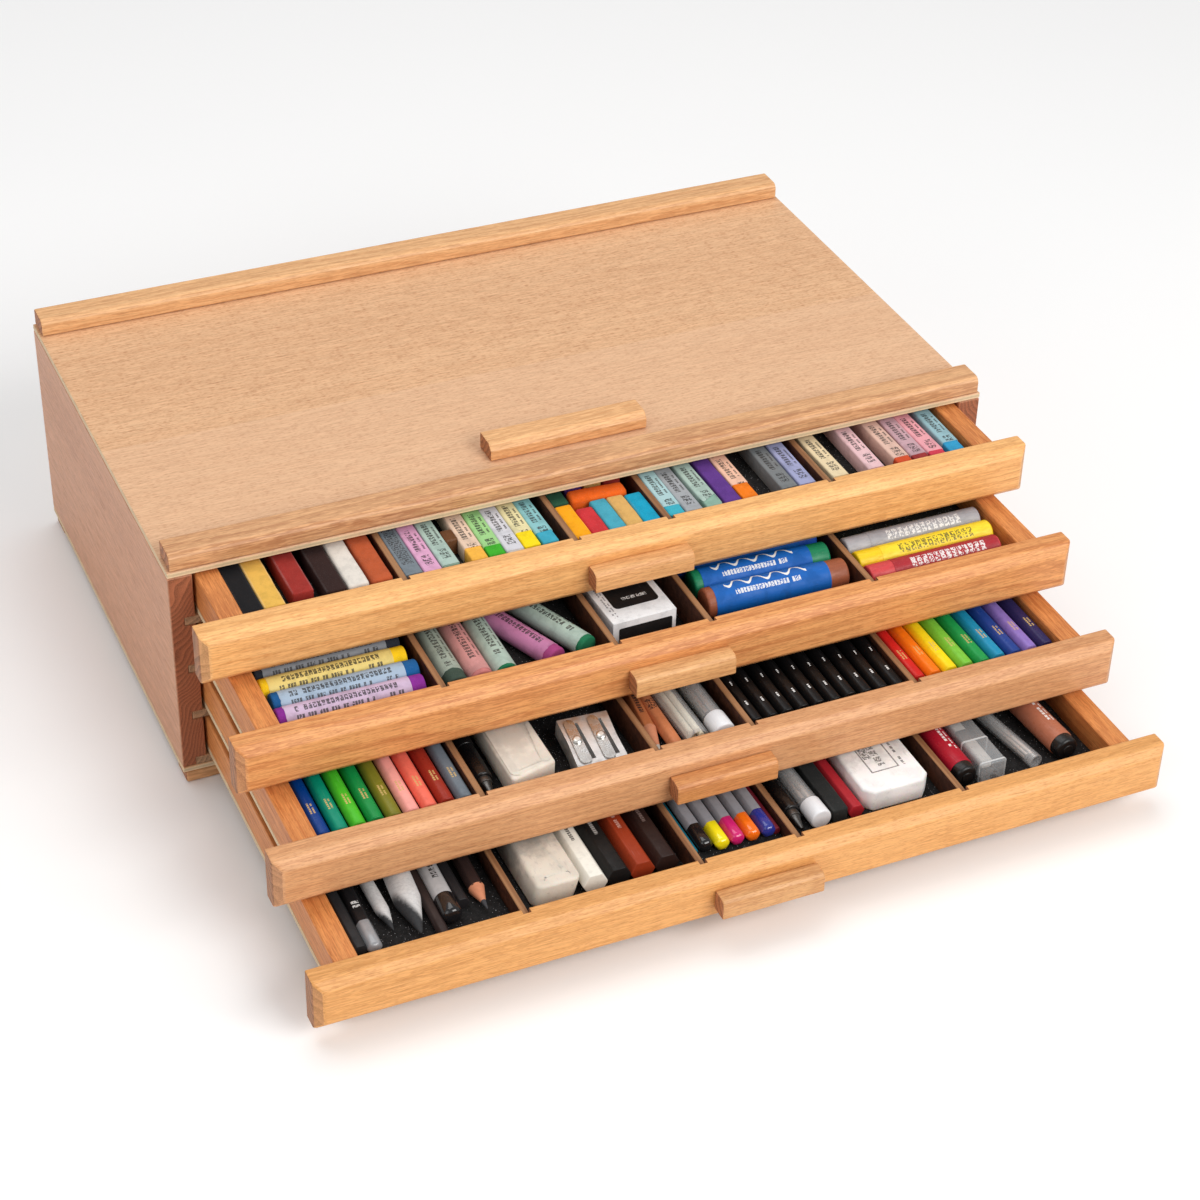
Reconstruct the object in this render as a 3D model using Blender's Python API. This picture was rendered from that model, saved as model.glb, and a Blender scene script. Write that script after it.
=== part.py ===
"""Four-drawer wooden art supply box: a glued beech cabinet with four divided drawers on wooden runners."""
import math

import bmesh
import bpy

# Fit between neighbouring pieces (metres throughout)
GAP = 0.0003

# Cabinet
WIDTH = 0.400
DEPTH = 0.228
SIDE_T = 0.011
PLY_T = 0.0028
FOOT_H = 0.0058
SIDE_H = 0.1034
BACK_T = 0.005
REAR = DEPTH - 0.0005
RAIL_H = 0.0082
RAIL_D = 0.0140
RAIL_END_INSET = 0.0012
RAIL_ROUND = 0.0032

# Stack of levels above the table
BOTTOM_Z = FOOT_H + GAP
SIDE_Z = BOTTOM_Z + PLY_T + GAP
TOP_Z = SIDE_Z + SIDE_H + GAP
RAIL_Z = TOP_Z + PLY_T + GAP

# Drawer spacing and runners
LEVELS = 4
PITCH = 0.0258
RUNNER_TOP_1 = 0.0906
RUNNER_T = 0.0040
RUNNER_OUT = 0.0060
GROOVE_D = 0.0050

# Drawer, with heights measured in the uppermost one
PULL_OUT = (0.035, 0.080, 0.124, 0.171)
FRONT_T = 0.0120
FRONT_H = 0.0253
FRONT_TOP_1 = 0.1125
FRONT_CHAMFER = 0.0040
BOX_PLAY = 0.0015
BOARD_T = 0.0105
BOX_DEPTH = 0.2177
BOX_TOP_1 = 0.1114
DIVIDER_T = 0.0030
DIVIDER_DROP = 0.0008
SLOT_D = 0.0030
DIVIDER_X = (-0.1050, -0.0250, 0.0205, 0.1010)

# Pull bars
PULL_L = 0.048
PULL_H = 0.0098
PULL_D = 0.0084
TOP_PULL_L = 0.078
TOP_PULL_D = 0.0135
TOP_PULL_Y = 0.0300
PULL_CHAMFER = 0.0030

# The middle of the whole footprint, open drawers included, sits at Y = 0
FOREMOST = -(max(PULL_OUT) + FRONT_T + GAP + PULL_D)
Y_MID = (DEPTH + FOREMOST) / 2

HALF = WIDTH / 2
BOX_HALF = HALF - SIDE_T - BOX_PLAY
INNER_HALF = BOX_HALF - BOARD_T

BEECH = (0.72, 0.47, 0.26)
BEECH_PINK = (0.66, 0.42, 0.28)
BEECH_RAIL = (0.74, 0.44, 0.20)
PLY_FACE = (0.76, 0.54, 0.34)
PLY_EDGE = (0.80, 0.64, 0.42)
HARDBOARD = (0.34, 0.17, 0.09)


def box_mesh(lo, hi):
    """A closed box between two corners, given in cabinet coordinates (Y = 0 at the cabinet's front)."""
    bm = bmesh.new()
    bmesh.ops.create_cube(bm, size=1.0)
    for v in bm.verts:
        unit = v.co.copy()
        v.co.x = lo[0] + (unit.x + 0.5) * (hi[0] - lo[0])
        v.co.y = lo[1] + (unit.y + 0.5) * (hi[1] - lo[1]) - Y_MID
        v.co.z = lo[2] + (unit.z + 0.5) * (hi[2] - lo[2])
    return bm


def edge_at(edge, axis, places):
    """True where an edge lies at each named place of the mesh's bounds and isn't along the axis asked for."""
    a, b = edge.verts
    return all(abs(a.co[i] - p) < 1e-7 and abs(b.co[i] - p) < 1e-7 for i, p in places.items()) and (
        axis is None or abs(a.co[axis] - b.co[axis]) > 1e-6
    )


def bevel(bm, edges, size, segments):
    """Cut back or round the edges given."""
    bmesh.ops.bevel(
        bm,
        geom=edges,
        offset=size,
        offset_type="OFFSET",
        segments=segments,
        profile=0.5,
        affect="EDGES",
        clamp_overlap=True,
    )


def soften(bm, size, segments=1):
    """Break every sharp edge by a small amount, as sanding does."""
    sharp = [e for e in bm.edges if e.is_manifold and e.calc_face_angle(0.0) > math.radians(32)]
    bevel(bm, sharp, size, segments)


def finish(name, bm, colour, roughness=0.45):
    """Turn the mesh into one named object with a material of its own."""
    bmesh.ops.recalc_face_normals(bm, faces=bm.faces)
    mesh = bpy.data.meshes.new(name)
    bm.to_mesh(mesh)
    bm.free()
    obj = bpy.data.objects.new(name, mesh)
    bpy.context.scene.collection.objects.link(obj)
    material = bpy.data.materials.new(name)
    material.use_nodes = True
    shader = material.node_tree.nodes["Principled BSDF"]
    shader.inputs["Base Color"].default_value = (*colour, 1.0)
    shader.inputs["Roughness"].default_value = roughness
    mesh.materials.append(material)
    return obj


def board(name, lo, hi, colour, edge=0.0004, segments=1):
    """A plain board with softened edges."""
    bm = box_mesh(lo, hi)
    soften(bm, edge, segments)
    return finish(name, bm, colour)


def rounded_bar(name, lo, hi, places, size, segments, colour):
    """A bar with large rounds on the long edges at the places given, and softened edges elsewhere."""
    bm = box_mesh(lo, hi)
    chosen = [e for e in bm.edges if any(edge_at(e, 0, p) for p in places)]
    bevel(bm, chosen, size, segments)
    soften(bm, 0.0007, 2)
    obj = finish(name, bm, colour)
    for face in obj.data.polygons:
        face.use_smooth = face.area < 0.0004
    return obj


def upright_prism(name, outline, low, high, colour):
    """A board with a notched outline in X and Y, standing upright."""
    bm = bmesh.new()
    rings = []
    for level in (low, high):
        rings.append([bm.verts.new((x, y - Y_MID, level)) for x, y in outline])
    bm.faces.new(rings[0])
    bm.faces.new(list(reversed(rings[1])))
    count = len(outline)
    for i in range(count):
        j = (i + 1) % count
        bm.faces.new((rings[0][j], rings[0][i], rings[1][i], rings[1][j]))
    return finish(name, bm, colour)


def boxes(name, spans):
    """Several separate boxes in one cutter."""
    whole = bmesh.new()
    for lo, hi in spans:
        single = box_mesh(lo, hi)
        piece = bpy.data.meshes.new("piece")
        single.to_mesh(piece)
        single.free()
        whole.from_mesh(piece)
        bpy.data.meshes.remove(piece)
    return finish(name, whole, BEECH)


def cut(obj, cutter):
    """Take the cutter's shape out of the object and drop the cutter."""
    cutter.hide_render = True
    cutter.display_type = "WIRE"
    modifier = obj.modifiers.new("cut", "BOOLEAN")
    modifier.operation = "DIFFERENCE"
    modifier.solver = "EXACT"
    modifier.object = cutter
    bpy.context.view_layer.update()
    graph = bpy.context.evaluated_depsgraph_get()
    result = bpy.data.meshes.new_from_object(obj.evaluated_get(graph))
    obj.modifiers.clear()
    old = obj.data
    obj.data = result
    bpy.data.meshes.remove(old)
    bpy.data.objects.remove(cutter)
    obj.data.name = obj.name


def make_side(name, sign):
    """A solid side with one groove per runner, cut from the front edge back to the rear panel."""
    spans = sorted((sign * (HALF - SIDE_T), sign * HALF))
    bm = box_mesh((spans[0], 0, SIDE_Z), (spans[1], DEPTH, SIDE_Z + SIDE_H))
    soften(bm, 0.0004)
    obj = finish(name, bm, BEECH_PINK)

    grooves = []
    for level in range(LEVELS):
        high = RUNNER_TOP_1 - level * PITCH + GAP
        low = high - RUNNER_T - 2 * GAP
        if low < SIDE_Z + GAP:
            low = SIDE_Z - 0.004
        xs = sorted((sign * (HALF - SIDE_T - 0.004), sign * (HALF - SIDE_T + GROOVE_D)))
        grooves.append(((xs[0], -0.004, low), (xs[1], REAR - BACK_T, high)))
    cut(obj, boxes(name + "_grooves", grooves))


def make_cabinet():
    """The glued case, its rails and its runners."""
    make_side("side_left", -1)
    make_side("side_right", 1)
    inner = HALF - SIDE_T - GAP
    board("back_panel", (-inner, REAR - BACK_T, SIDE_Z), (inner, REAR, SIDE_Z + SIDE_H), PLY_FACE)
    board("bottom_panel", (-HALF, 0, BOTTOM_Z), (HALF, DEPTH, BOTTOM_Z + PLY_T), PLY_EDGE, 0.0003)
    board("top_panel", (-HALF, 0, TOP_Z), (HALF, DEPTH, TOP_Z + PLY_T), PLY_FACE, 0.0003)

    end = HALF - RAIL_END_INSET
    top = RAIL_Z + RAIL_H
    for name, y in (("top_rail_front", 0.0002), ("top_rail_back", DEPTH - 0.0002 - RAIL_D)):
        places = [{1: y - Y_MID, 2: top}]
        rounded_bar(name, (-end, y, RAIL_Z), (end, y + RAIL_D, top), places, RAIL_ROUND, 4, BEECH_RAIL)
    for name, y in (("foot_rail_front", 0.0002), ("foot_rail_back", DEPTH - 0.0002 - RAIL_D)):
        board(name, (-end, y, 0), (end, y + RAIL_D, FOOT_H), BEECH_RAIL, 0.0009, 2)

    half = TOP_PULL_L / 2
    y0 = TOP_PULL_Y
    y1 = TOP_PULL_Y + TOP_PULL_D
    places = [{1: y0 - Y_MID, 2: top}]
    rounded_bar("top_pull", (-half, y0, RAIL_Z), (half, y1, top), places, PULL_CHAMFER, 1, BEECH_RAIL)

    outer = HALF - SIDE_T + GROOVE_D - GAP
    tip = HALF - SIDE_T - RUNNER_OUT
    depth = REAR - BACK_T - GAP
    for level in range(LEVELS):
        high = RUNNER_TOP_1 - level * PITCH
        low = high - RUNNER_T
        board(f"runner_left_{level + 1}", (-outer, 0, low), (-tip, depth, high), BEECH, 0.0003)
        board(f"runner_right_{level + 1}", (tip, 0, low), (outer, depth, high), BEECH, 0.0003)


def make_front(name, y, top):
    """The overlaying front: chamfered all round its face, with a slot behind it for each divider."""
    face = y - FRONT_T
    low = top - FRONT_H
    bm = box_mesh((-HALF, face, low), (HALF, y, top))
    rim = [e for e in bm.edges if edge_at(e, None, {1: face - Y_MID})]
    bevel(bm, rim, FRONT_CHAMFER, 1)
    soften(bm, 0.0007, 2)
    obj = finish(name, bm, BEECH)
    for polygon in obj.data.polygons:
        polygon.use_smooth = polygon.area < 0.0004

    side = DIVIDER_T / 2 + GAP
    floor = top - (FRONT_TOP_1 - RUNNER_TOP_1) + GAP + PLY_T
    slots = [((x - side, y - SLOT_D, floor), (x + side, y + 0.004, top + 0.004)) for x in DIVIDER_X]
    cut(obj, boxes(name + "_slots", slots))


def make_back(name, y0, y1, low, high):
    """The drawer's back board, slotted on its inner face for the dividers."""
    edge = INNER_HALF - GAP
    side = DIVIDER_T / 2 + GAP
    outline = [(edge, y1), (-edge, y1), (-edge, y0)]
    for x in DIVIDER_X:
        outline += [(x - side, y0), (x - side, y0 + SLOT_D), (x + side, y0 + SLOT_D), (x + side, y0)]
    outline += [(edge, y0)]
    outline.reverse()
    upright_prism(name, outline, low, high, BEECH)


def make_drawer(level):
    """One drawer, drawn forward by its own amount."""
    name = f"drawer_{level + 1}"
    y = -PULL_OUT[level]
    drop = level * PITCH
    make_front(name + "_front", y, FRONT_TOP_1 - drop)

    base = RUNNER_TOP_1 + GAP - drop
    floor = base + PLY_T
    low = floor + GAP
    high = BOX_TOP_1 - drop
    start = y + GAP
    end = y + BOX_DEPTH
    board(name + "_bottom", (-BOX_HALF, start, base), (BOX_HALF, end, floor), PLY_EDGE, 0.0003)
    board(name + "_side_left", (-BOX_HALF, start, low), (-INNER_HALF, end, high), BEECH)
    board(name + "_side_right", (INNER_HALF, start, low), (BOX_HALF, end, high), BEECH)
    make_back(name + "_back", end - BOARD_T, end, low, high)

    ends = (y - SLOT_D + GAP, end - BOARD_T + SLOT_D - GAP)
    for i, x in enumerate(DIVIDER_X):
        lo = (x - DIVIDER_T / 2, ends[0], low)
        hi = (x + DIVIDER_T / 2, ends[1], high - DIVIDER_DROP)
        board(f"{name}_divider_{i + 1}", lo, hi, HARDBOARD, 0.0003)

    half = PULL_L / 2
    face = y - FRONT_T - GAP
    middle = FRONT_TOP_1 - drop - FRONT_H / 2
    lo = (-half, face - PULL_D, middle - PULL_H / 2)
    hi = (half, face, middle + PULL_H / 2)
    places = [{1: face - PULL_D - Y_MID, 2: hi[2]}]
    rounded_bar(name + "_pull", lo, hi, places, PULL_CHAMFER, 3, BEECH_RAIL)


for item in list(bpy.data.objects):
    bpy.data.objects.remove(item)

make_cabinet()
for number in range(LEVELS):
    make_drawer(number)
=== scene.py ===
"""Looks of the four-drawer art supply box: beech, plywood, foam liners and the drawing materials
in its drawers."""
import math
import random

import bmesh
import bpy
from mathutils import Matrix, Vector, noise

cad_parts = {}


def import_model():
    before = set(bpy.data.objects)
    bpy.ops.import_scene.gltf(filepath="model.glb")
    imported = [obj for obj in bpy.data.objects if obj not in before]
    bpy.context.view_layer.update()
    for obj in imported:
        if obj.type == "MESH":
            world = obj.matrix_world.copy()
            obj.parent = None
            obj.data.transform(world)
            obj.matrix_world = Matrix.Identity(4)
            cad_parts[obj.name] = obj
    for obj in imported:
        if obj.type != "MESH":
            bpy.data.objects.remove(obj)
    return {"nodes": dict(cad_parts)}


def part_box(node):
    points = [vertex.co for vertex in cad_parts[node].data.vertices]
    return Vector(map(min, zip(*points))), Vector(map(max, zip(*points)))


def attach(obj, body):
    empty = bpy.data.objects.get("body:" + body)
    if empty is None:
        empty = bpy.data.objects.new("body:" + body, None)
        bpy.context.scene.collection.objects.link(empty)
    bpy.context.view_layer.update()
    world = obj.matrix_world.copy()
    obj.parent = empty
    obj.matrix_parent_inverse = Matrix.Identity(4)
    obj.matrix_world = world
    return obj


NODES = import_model()["nodes"]
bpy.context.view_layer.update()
MM = 0.001


# ---------------------------------------------------------------- colours
def rgb(red, green, blue):
    """A colour given in display values from 0 to 255, in linear light."""
    return tuple(((c / 255 + 0.055) / 1.055) ** 2.4 for c in (red, green, blue))


def shade(colour, amount):
    return tuple(min(1.0, c * amount) for c in colour)


def tint(colour, amount):
    return tuple(c + (1.0 - c) * amount for c in colour)


INK = (0.022, 0.021, 0.022)
WHITE = (0.85, 0.85, 0.84)
GOLD = (0.62, 0.43, 0.16)


# ---------------------------------------------------------------- node helpers
def socket(node, key):
    """An input by name or number. Names repeat on Mix nodes, so only enabled ones count."""
    if isinstance(key, int):
        return node.inputs[key]
    return next(s for s in node.inputs if s.name == key and s.enabled)


def operation(name):
    """A method that combines two values, or changes one, by a Math node."""
    return lambda self, other=0.0: self.paint.math(name, self, other)


class Value:
    """A node's output, which can be added, scaled and compared like a number."""

    def __init__(self, paint, output):
        self.paint = paint
        self.output = output

    __add__ = operation("ADD")
    __sub__ = operation("SUBTRACT")
    __mul__ = operation("MULTIPLY")
    __truediv__ = operation("DIVIDE")
    __lt__ = operation("LESS_THAN")
    __gt__ = operation("GREATER_THAN")
    __abs__ = operation("ABSOLUTE")
    fract = operation("FRACT")
    floor = operation("FLOOR")


class Paint:
    """Builds one material's nodes. Values that don't vary go straight on the shader's sockets."""

    def __init__(self, name, **constants):
        self.material = bpy.data.materials.new(name)
        self.material.use_nodes = True
        self.tree = self.material.node_tree
        self.shader = self.tree.nodes["Principled BSDF"]
        for key, value in constants.items():
            self.shader.inputs[key.replace("_", " ")].default_value = value

    def put(self, target, value):
        if isinstance(value, Value):
            self.tree.links.new(value.output, target)
        elif isinstance(value, (tuple, list)) and len(value) == 3 and len(target.default_value) == 4:
            target.default_value = (*value, 1.0)
        else:
            target.default_value = value

    def node(self, kind, out=0, sockets=None, **settings):
        made = self.tree.nodes.new("ShaderNode" + kind)
        for key, value in settings.items():
            setattr(made, key, value)
        for key, value in (sockets or {}).items():
            self.put(socket(made, key), value)
        return Value(self, made.outputs[out])

    def math(self, operation, a, b=0.0, clamp=False):
        return self.node("Math", 0, {0: a, 1: b}, operation=operation, use_clamp=clamp)

    def vector(self, operation, a, b=(0, 0, 0)):
        out = 1 if operation in ("LENGTH", "DOT_PRODUCT") else 0
        return self.node("VectorMath", out, {0: a, 1: b}, operation=operation)

    def split(self, vector):
        """The x, y and z parts of a vector."""
        made = self.tree.nodes.new("ShaderNodeSeparateXYZ")
        self.put(made.inputs[0], vector)
        return [Value(self, output) for output in made.outputs]

    def mix(self, factor, a, b):
        made = self.tree.nodes.new("ShaderNodeMix")
        made.data_type = "RGBA"
        made.clamp_factor = True
        for place, value in ((0, factor), (6, a), (7, b)):
            self.put(made.inputs[place], value)
        return Value(self, made.outputs[2])

    def span(self, value, low, high, to_low=0.0, to_high=1.0):
        """Smooth step of a value from one range to another."""
        keys = {0: value, 1: low, 2: high, 3: to_low, 4: to_high}
        return self.node("MapRange", 0, keys, interpolation_type="SMOOTHSTEP")

    def fade(self, tone, other, value, low, high, share=1.0, below=0.0):
        """Mix another colour in: a share of it where the value is over high, and below of it under low."""
        return self.mix(self.span(value, low, high, below, share), tone, other)

    def noise(self, vector, scale, detail=2.0, rough=0.5, out=0):
        """Noise at one scale, or at a scale of its own along each axis."""
        if isinstance(scale, tuple):
            vector, scale = self.vector("MULTIPLY", vector, scale), 1.0
        keys = {"Vector": vector, "Scale": scale, "Detail": detail, "Roughness": rough}
        return self.node("TexNoise", out, keys)

    def cells(self, vector, scale=1.0, out=0):
        return self.node("TexVoronoi", out, {"Vector": vector, "Scale": scale, "Randomness": 1.0})

    def chosen(self, vector, scale=1.0):
        """A random number from 0 to 1 for each cell."""
        return self.vector("DOT_PRODUCT", self.cells(vector, scale, out=1), (1, 0, 0))

    def place(self, grain, offset):
        """Object coordinates with the grain along the first axis."""
        parts = self.split(self.node("TexCoord", 3))
        order = {"X": (0, 1, 2), "Y": (1, 0, 2)}[grain]
        turned = self.node("CombineXYZ", 0, {i: parts[j] for i, j in enumerate(order)})
        return self.vector("ADD", turned, offset)

    def local(self, seed):
        """Object coordinates in mm: shifted by the seed for textures, then plain x, y and z."""
        plain = self.vector("MULTIPLY", self.node("TexCoord", 3), (1000, 1000, 1000))
        rng = random.Random(seed)
        shifted = self.vector("ADD", plain, tuple(rng.uniform(-200, 200) for _ in range(3)))
        return shifted, *self.split(plain)

    def facing(self, axis):
        """How squarely the surface faces along an axis, 0 to 1."""
        return abs(self.split(self.node("NewGeometry", 1))["XYZ".index(axis)])

    def surface(self, colour, roughness, height=None, strength=0.2, distance=0.0003):
        self.put(self.shader.inputs["Base Color"], colour)
        self.put(self.shader.inputs["Roughness"], roughness)
        if height is not None:
            keys = {"Strength": strength, "Distance": distance, "Height": height}
            self.put(self.shader.inputs["Normal"], self.node("Bump", 0, keys))
        return self.material


# ---------------------------------------------------------------- wood
PITH = (0.10, 0.06)  # how far the pith of the tree usually lies from a board's middle, in metres


def wood(name, grain, tones, end, seed, fleck, ring, rings, pith=PITH, edge=None, calm=1.0, seam=None):
    """Beech as a solid: growth rings about a distant pith, fibres, short dark flecks, darker end grain.
    edge = (axis, low, thickness) shows a veneered board's layers on the sides across that axis.
    calm below 1 weakens the broad figure. seam = (place across, colour) is where a paler leaf starts."""
    pale, deep = tones
    rng = random.Random(seed)
    p = Paint(name, Specular_IOR_Level=0.38)
    shift = (rng.uniform(-3, 3), rng.uniform(-0.004, 0.004), rng.uniform(-0.004, 0.004))
    at = p.place(grain, shift)
    swell = p.noise(at, (4.5, 26, 26), out=1)
    wander = p.vector("MULTIPLY", p.vector("SUBTRACT", swell, (0.5, 0.5, 0.5)), (0, 0.034, 0.034))
    flat = p.vector("MULTIPLY", p.vector("ADD", at, (0, *pith)), (0, 1, 1))
    radius = p.vector("LENGTH", p.vector("ADD", flat, wander))
    turn = (radius / ring).fract()
    growth = p.span(turn, 0.0, 0.86) * p.span(turn, 0.90, 1.0, 1.0, 0.0)

    bands = p.noise(at, (1.6, 22, 22))
    streaks = p.noise(at, (8, 640, 640), 3.0, 0.70)
    fibres = p.noise(at, (60, 2100, 2100), 2.0, 0.6)
    tone = growth * rings + p.span(bands, 0.35, 0.68, 0.0, 0.42 * calm)
    tone = p.math("ADD", tone, p.span(streaks, 0.34, 0.70, -0.18 * calm, 0.34 * calm), clamp=True)
    colour = p.mix(tone, pale, deep)
    colour = p.fade(colour, shade(deep, 0.62), fibres, 0.48, 0.74, 0.50)

    rust = (deep[0] * 0.74, deep[1] * 0.58, deep[2] * 0.48)
    mark = 0.0
    for scale, share, weight in (((400, 2100, 2100), 0.05, 0.85), ((240, 1500, 1500), 0.30, 1.0)):
        dashes = p.vector("MULTIPLY", at, scale)
        spot = p.span(p.cells(dashes), 0.18, 0.42, weight, 0.0)
        mark = p.math("MAXIMUM", mark, spot * p.span(p.chosen(dashes), share, share + 0.3))
    colour = p.mix(mark * fleck, colour, rust)
    glint = p.noise(at, (130, 1450, 1450), 1.0)
    colour = p.fade(colour, shade(pale, 1.16), glint, 0.50, 0.64, 0.50)

    pores = p.noise(at, 2600.0, 2.0, 0.7)
    rays = p.noise(at, (1, 420, 900))
    cut = p.mix(growth, end, shade(end, 0.50))
    cut = p.fade(cut, shade(end, 1.75), pores, 0.42, 0.66, 0.45)
    cut = p.fade(cut, shade(end, 0.55), rays, 0.55, 0.75, 0.35)
    across = p.span(p.facing(grain), 0.62, 0.80)
    colour = p.mix(across, colour, cut)

    if edge:
        axis, low, thick = edge
        parts = p.split(p.node("TexCoord", 3))
        level = (parts["XYZ".index(axis)] - low) / thick
        if seam:
            place, leaf = seam
            colour = p.fade(colour, leaf, parts[1], place, place + 0.0015, 0.0, 0.24)
        core = p.span(level, 0.30, 0.36) * p.span(level, 0.64, 0.70, 1.0, 0.0)
        fuzz = p.noise(p.node("TexCoord", 3), 900.0, 3.0, 0.6)
        layer = p.mix(core * 0.55, CREAM, shade(CREAM, 0.62))
        layer = p.fade(layer, shade(CREAM, 0.60), fuzz, 0.45, 0.75, 0.40)
        colour = p.fade(colour, layer, p.facing(axis), 0.35, 0.55, 0.0, 1.0)

    height = fibres * 0.7 + mark * -0.3
    rough = p.span(fibres + across * 0.35, 0.2, 1.1, 0.36, 0.66)
    return p.surface(colour, rough, height, 0.22, 0.00025)


def hardboard(name, seed):
    """Divider board: smooth dark-brown faces, fuzzy tan sawn edges."""
    p = Paint(name, Specular_IOR_Level=0.3)
    at = p.place("Y", (seed * 0.37, 0.01 * seed, 0))
    mottle = p.noise(at, 240.0, 4.0, 0.62)
    streak = p.noise(at, (14, 420, 420), 3.0)
    face = p.fade((0.090, 0.030, 0.015), (0.040, 0.014, 0.008), mottle, 0.35, 0.7)
    sawn = p.fade((0.37, 0.188, 0.088), (0.230, 0.102, 0.044), streak, 0.35, 0.7)
    sawn = p.fade(sawn, (0.20, 0.09, 0.04), p.noise(at, 1700.0), 0.5, 0.8, 0.5)
    colour = p.fade(face, sawn, p.facing("Z"), 0.5, 0.75)
    return p.surface(colour, p.span(mottle, 0.3, 0.8, 0.5, 0.75), mottle, 0.25)


# Woods have a pale and a deep tone, cut ends and plywood edges one colour.
END_RED = (0.36, 0.118, 0.052)
END_BROWN = (0.42, 0.165, 0.070)
CREAM = (0.80, 0.610, 0.380)
SIDE = ((0.64, 0.318, 0.178), (0.50, 0.222, 0.114))
VENEER = ((0.760, 0.462, 0.262), (0.620, 0.318, 0.155))
PALE_LEAF = (0.80, 0.53, 0.36)
RUNNER = ((0.62, 0.380, 0.220), (0.47, 0.250, 0.130))
BOARD = ((0.70, 0.280, 0.085), (0.52, 0.165, 0.045))
PLY = ((0.70, 0.46, 0.27), (0.56, 0.33, 0.18))
RAIL = ((0.80, 0.465, 0.222), (0.60, 0.285, 0.118))
# The front rail's tones are the rails' made darker: painted shade, as it lies in shadow.
FRONT_RAIL_SHADED = ((0.75, 0.425, 0.210), (0.50, 0.230, 0.102))
TOP_PULL = ((0.85, 0.500, 0.235), (0.66, 0.318, 0.130))
PULLS = {
    1: ((0.79, 0.430, 0.180), (0.62, 0.285, 0.104)),
    2: ((0.73, 0.398, 0.167), (0.57, 0.263, 0.096)),
    3: ((0.66, 0.295, 0.103), (0.515, 0.195, 0.062)),
    4: ((0.655, 0.347, 0.143), (0.513, 0.230, 0.084)),
}
# Drawer fronts: pale and deep tone, width and weight of the rings, place of the pith.
FRONTS = {
    1: ((0.89, 0.485, 0.185), (0.72, 0.335, 0.108), 0.0046, 0.42, (0.115, 0.050)),
    2: ((0.78, 0.362, 0.128), (0.57, 0.208, 0.064), 0.0050, 0.70, (0.034, 0.016)),
    3: ((0.70, 0.365, 0.172), (0.55, 0.242, 0.101), 0.0040, 0.45, (0.105, 0.075)),
    4: ((0.76, 0.378, 0.130), (0.63, 0.282, 0.080), 0.0044, 0.36, (0.125, 0.045)),
}


def dress(node, material):
    """Give a CAD node its finish in every slot it has."""
    mesh = NODES[node].data
    if not mesh.materials:
        mesh.materials.append(material)
    for i in range(len(mesh.materials)):
        mesh.materials[i] = material


def beech(node, grain, tones, end, seed, *figure):
    """Dress a solid board. figure is fleck, ring, rings and, if not the usual one, pith."""
    dress(node, wood(node + "_beech", grain, tones, end, seed, *figure))


def layers(node, axis):
    """Where a board's plywood layers lie."""
    low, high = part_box(node)
    i = "XYZ".index(axis)
    return axis, low[i], high[i] - low[i]


def dress_cabinet():
    for i, node in enumerate(("side_left", "side_right")):
        beech(node, "Y", SIDE, END_RED, 11 + i, 0.40, 0.0022, 0.22, (0.035, 0.05))
    seam = (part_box("top_panel")[0].y + 0.103, PALE_LEAF)
    panels = (
        ("top", 21, 0.80, 0.016, 0.14, (0.20, 0.02), "Z", 0.45, seam),
        ("bottom", 22, 0.85, 0.016, 0.14, (0.20, 0.02), "Z", 0.45, None),
        ("back", 23, 0.65, 0.014, 0.30, (0.02, 0.20), "Y", 1.0, None),
    )
    for name, seed, fleck, ring, rings, pith, axis, calm, leaf in panels:
        edge = layers(name + "_panel", axis)
        made = wood(name + "_veneer", "X", VENEER, CREAM, seed, fleck, ring, rings, pith, edge, calm, leaf)
        dress(name + "_panel", made)
    # Darker tones on the front rail: painted shade.
    beech("top_rail_front", "X", FRONT_RAIL_SHADED, END_BROWN, 31, 0.32, 0.0034, 0.60, (0.06, 0.03))
    for i, node in enumerate(("top_rail_back", "foot_rail_front", "foot_rail_back", "top_pull")):
        tones = TOP_PULL if node == "top_pull" else RAIL
        beech(node, "X", tones, END_BROWN, 32 + i, 0.32, 0.0026, 0.50, (0.06, 0.03))
    for i in range(1, 5):
        for side in ("left", "right"):
            beech(f"runner_{side}_{i}", "Y", RUNNER, (0.40, 0.235, 0.130), 50 + i, 0.3, 0.003, 0.4)


def dress_drawer(k):
    name = f"drawer_{k}"
    pale, deep, ring, rings, pith = FRONTS[k]
    centred = (pith[0], pith[1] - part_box(name + "_front")[0].z)
    beech(name + "_front", "X", (pale, deep), (0.42, 0.190, 0.095), 60 + k, 0.45, ring, rings, centred)
    for i, part in enumerate(("_side_left", "_side_right")):
        beech(name + part, "Y", BOARD, END_RED, 70 + 2 * k + i, 0.40, 0.0036, 0.5)
    beech(name + "_back", "X", BOARD, END_RED, 90 + k, 0.4, 0.0036, 0.5)
    bottom = name + "_bottom"
    edge = layers(bottom, "Z")
    dress(bottom, wood(bottom + "_ply", "X", PLY, CREAM, 95 + k, 0.4, 0.015, 0.2, edge=edge))
    beech(name + "_pull", "X", PULLS[k], END_BROWN, 110 + k, 0.50, 0.003, 0.45, (0.04, 0.02))
    for i in range(1, 5):
        dress(f"{name}_divider_{i}", hardboard(f"{name}_divider_{i}_board", 10 * k + i))


dress_cabinet()
for drawer in range(1, 5):
    dress_drawer(drawer)


# ---------------------------------------------------------------- finishes of the drawing materials
MADE = {}


def once(finish):
    """Keep one material for each name, so that pieces of the same stock share it."""

    def named(name, *values, **more):
        if name not in MADE:
            MADE[name] = finish(name, *values, **more)
        return MADE[name]

    return named


DASH_FILL = 0.78


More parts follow.
